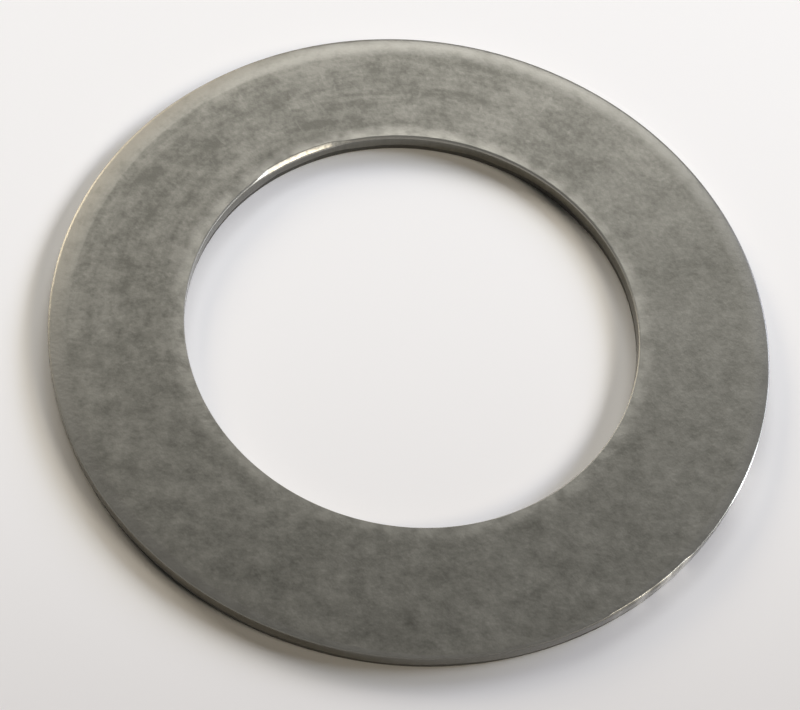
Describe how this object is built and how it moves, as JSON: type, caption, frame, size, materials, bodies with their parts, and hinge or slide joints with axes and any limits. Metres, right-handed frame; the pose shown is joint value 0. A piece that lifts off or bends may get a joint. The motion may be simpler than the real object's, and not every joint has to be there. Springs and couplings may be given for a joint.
{
  "type": "shim ring",
  "caption": "Flat stamped steel shim ring with a plain round bore, used as a thin axial spacer on a shaft or in a housing.",
  "frame": {"origin": "centre of the ring on its bottom (burr side) face", "axes": "+Z along the ring's axis, from the bottom face to the top (die roll) face; X and Y are any two radii at right angles"},
  "size_m": [0.016, 0.016, 0.0005],
  "materials": {
    "steel": "matt tumbled grey steel with fine mottling and lighter rubbed edges"
  },
  "bodies": {
    "root": {"shim_ring": "steel"}
  },
  "joints": []
}
